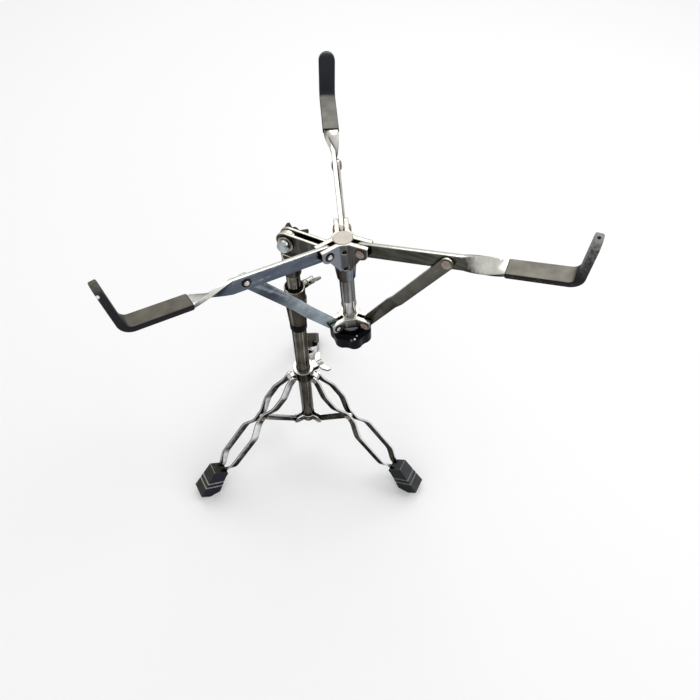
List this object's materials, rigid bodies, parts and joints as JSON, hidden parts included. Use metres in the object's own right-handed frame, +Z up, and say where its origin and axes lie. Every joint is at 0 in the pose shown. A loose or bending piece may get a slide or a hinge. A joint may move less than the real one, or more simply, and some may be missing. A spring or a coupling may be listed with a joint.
{
  "type": "snare drum stand",
  "caption": "Folding chrome stand for a snare drum: strip-leg tripod with rubber feet, clamped telescoping post, tilter and a screw-closed three-arm basket.",
  "frame": {"origin": "on the floor, on the base tube's axis", "axes": "+Z up the base tube, +X to the right and +Y away from a viewer who faces the two front legs"},
  "size_m": [0.4341, 0.365, 0.5901],
  "materials": {
    "tube_chrome": "polished chrome plate on round tube",
    "casting": "chrome plate over a die casting, slightly soft edges",
    "cap": "plain satin disc, warm off-white",
    "strip_chrome": "chrome plate on flat steel strip",
    "fastener": "plated steel fasteners",
    "foot_rubber": "moulded black rubber",
    "sleeve_vinyl": "matte black dipped vinyl",
    "black_plastic": "glossy moulded black",
    "black_nylon": "black nylon",
    "black_wing": "black coated wing nut"
  },
  "bodies": {
    "column": {"base_tube": "tube_chrome", "lower_collar_plates": "strip_chrome", "lower_collar_pins": "fastener", "spreader_rivets": "fastener", "clamp_body": "casting", "clamp_bush": "black_nylon", "trim_ring": "black_nylon"},
    "clamp_wing": {"clamp_wing": "casting"},
    "collar": {"upper_collar": "casting"},
    "collar_screw": {"collar_wing_screw": "casting"},
    "guide": {"guide_bush": "black_nylon"},
    "mast": {"upper_tube": "tube_chrome", "tilter_block": "casting", "tilter_bolt": "fastener", "tilter_washer": "fastener"},
    "tilter_nut": {"tilter_wing_nut": "black_wing"},
    "basket": {"hub": "casting", "hub_cap": "cap", "hub_rivets": "fastener", "stem_set_screws": "fastener", "stem_tube": "tube_chrome", "adjuster_screw": "tube_chrome"},
    "spider": {"spider": "casting", "spider_rivets": "fastener"},
    "knob": {"knob_washer": "fastener", "knob_grip": "black_plastic", "knob_insert": "fastener"},
    "left_spreader": {"left_spreader": "strip_chrome"},
    "left_leg": {"left_leg_strip_one": "strip_chrome", "left_leg_strip_two": "strip_chrome", "left_leg_rivets": "fastener", "left_foot": "foot_rubber"},
    "left_arm": {"left_arm": "strip_chrome", "left_sleeve": "sleeve_vinyl", "left_arm_rivet": "fastener"},
    "left_brace": {"left_brace": "strip_chrome", "left_brace_rivet": "fastener"},
    "right_spreader": {"right_spreader": "strip_chrome"},
    "right_leg": {"right_leg_strip_one": "strip_chrome", "right_leg_strip_two": "strip_chrome", "right_leg_rivets": "fastener", "right_foot": "foot_rubber"},
    "right_arm": {"right_arm": "strip_chrome", "right_sleeve": "sleeve_vinyl", "right_arm_rivet": "fastener"},
    "right_brace": {"right_brace": "strip_chrome", "right_brace_rivet": "fastener"},
    "rear_spreader": {"rear_spreader": "strip_chrome"},
    "rear_leg": {"rear_leg_strip_one": "strip_chrome", "rear_leg_strip_two": "strip_chrome", "rear_leg_rivets": "fastener", "rear_foot": "foot_rubber"},
    "rear_arm": {"rear_arm": "strip_chrome", "rear_sleeve": "sleeve_vinyl", "rear_arm_rivet": "fastener"},
    "rear_brace": {"rear_brace": "strip_chrome", "rear_brace_rivet": "fastener"}
  },
  "joints": [
    {"name": "tripod_fold", "type": "hinge", "parent": "column", "child": "left_spreader", "pos_m": [-0.01733, -0.01095, 0.0821], "axis": [-0.5344, 0.8453, 0], "range_deg": [0, 33]},
    {"name": "left_leg_fold", "type": "hinge", "parent": "left_spreader", "child": "left_leg", "pos_m": [-0.06415, -0.04055, 0.1471], "axis": [-0.5344, 0.8453, 0], "range_deg": [-66, 0]},
    {"name": "right_spreader_fold", "type": "hinge", "parent": "column", "child": "right_spreader", "pos_m": [0.01815, -0.00953, 0.0821], "axis": [-0.4648, -0.8854, 0], "range_deg": [0, 33]},
    {"name": "right_leg_fold", "type": "hinge", "parent": "right_spreader", "child": "right_leg", "pos_m": [0.06719, -0.03528, 0.1471], "axis": [-0.4648, -0.8854, 0], "range_deg": [-66, 0]},
    {"name": "rear_spreader_fold", "type": "hinge", "parent": "column", "child": "rear_spreader", "pos_m": [-0.00082, 0.02048, 0.0821], "axis": [0.9992, 0.0401, 0], "range_deg": [0, 33]},
    {"name": "rear_leg_fold", "type": "hinge", "parent": "rear_spreader", "child": "rear_leg", "pos_m": [-0.00305, 0.07583, 0.1471], "axis": [0.9992, 0.0401, 0], "range_deg": [-66, 0]},
    {"name": "collar_level", "type": "hinge", "parent": "left_leg", "child": "collar", "pos_m": [-0.01733, -0.01095, 0.2121], "axis": [-0.5344, 0.8453, 0], "range_deg": [0, 33]},
    {"name": "collar_screw_turn", "type": "hinge", "parent": "collar", "child": "collar_screw", "pos_m": [0.01817, 0.01149, 0.2126], "axis": [0.8453, 0.5344, 0], "continuous": true},
    {"name": "height_slide", "type": "slide", "parent": "column", "child": "guide", "axis": [0, 0, 1], "range_m": [-0.022, 0.18]},
    {"name": "mast_swivel", "type": "hinge", "parent": "guide", "child": "mast", "pos_m": [0, 0, 0.1441], "axis": [0, 0, 1], "continuous": true},
    {"name": "basket_tilt", "type": "hinge", "parent": "mast", "child": "basket", "pos_m": [0, 0, 0.4709], "axis": [-0.4115, -0.9114, 0], "range_deg": [-8, 50]},
    {"name": "tilter_nut_turn", "type": "hinge", "parent": "mast", "child": "tilter_nut", "pos_m": [0.00257, 0.0057, 0.4709], "axis": [0.4115, 0.9114, 0], "continuous": true},
    {"name": "clamp_wing_turn", "type": "hinge", "parent": "column", "child": "clamp_wing", "pos_m": [0.01282, 0.01038, 0.3923], "axis": [0.7771, 0.6293, 0], "continuous": true},
    {"name": "spider_lift", "type": "slide", "parent": "basket", "child": "spider", "axis": [-0.0747, 0.0337, 0.9966], "range_m": [0, 0.024]},
    {"name": "knob_turn", "type": "hinge", "parent": "spider", "child": "knob", "pos_m": [0.06426, -0.02901, 0.38218], "axis": [-0.0747, 0.0337, 0.9966], "range_deg": [0, 2880]},
    {"name": "right_arm_lift", "type": "hinge", "parent": "basket", "child": "right_arm", "pos_m": [0.07471, -0.03373, 0.49289], "axis": [-0.4115, -0.9114, 0], "range_deg": [0, 23.31]},
    {"name": "right_brace_lift", "type": "hinge", "parent": "spider", "child": "right_brace", "pos_m": [0.0827, -0.03734, 0.38384], "axis": [-0.4115, -0.9114, 0], "range_deg": [0, 5.72]},
    {"name": "rear_arm_lift", "type": "hinge", "parent": "basket", "child": "rear_arm", "pos_m": [0.05409, -0.00494, 0.49037], "axis": [0.9924, 0.1005, 0.071], "range_deg": [0, 23.31]},
    {"name": "rear_brace_lift", "type": "hinge", "parent": "spider", "child": "rear_brace", "pos_m": [0.06227, -0.00883, 0.38134], "axis": [0.9924, 0.1005, 0.071], "range_deg": [0, 5.72]},
    {"name": "left_arm_lift", "type": "hinge", "parent": "basket", "child": "left_arm", "pos_m": [0.03947, -0.0373, 0.49037], "axis": [-0.5809, 0.8109, -0.071], "range_deg": [0, 23.31]},
    {"name": "left_brace_lift", "type": "hinge", "parent": "spider", "child": "left_brace", "pos_m": [0.04781, -0.04087, 0.38134], "axis": [-0.5809, 0.8109, -0.071], "range_deg": [0, 5.72]}
  ],
  "couplings": [
    {"joint": "left_leg_fold", "follows": "tripod_fold", "ratio": -2},
    {"joint": "right_spreader_fold", "follows": "tripod_fold", "ratio": 1},
    {"joint": "right_leg_fold", "follows": "tripod_fold", "ratio": -2},
    {"joint": "rear_spreader_fold", "follows": "tripod_fold", "ratio": 1},
    {"joint": "rear_leg_fold", "follows": "tripod_fold", "ratio": -2},
    {"joint": "collar_level", "follows": "tripod_fold", "ratio": 1},
    {"joint": "spider_lift", "follows": "knob_turn", "m_per_rad": 0.00047746},
    {"joint": "right_arm_lift", "follows": "knob_turn", "ratio": 0.0080932},
    {"joint": "right_brace_lift", "follows": "knob_turn", "ratio": 0.001986},
    {"joint": "rear_arm_lift", "follows": "knob_turn", "ratio": 0.0080932},
    {"joint": "rear_brace_lift", "follows": "knob_turn", "ratio": 0.001986},
    {"joint": "left_arm_lift", "follows": "knob_turn", "ratio": 0.0080932},
    {"joint": "left_brace_lift", "follows": "knob_turn", "ratio": 0.001986}
  ]
}
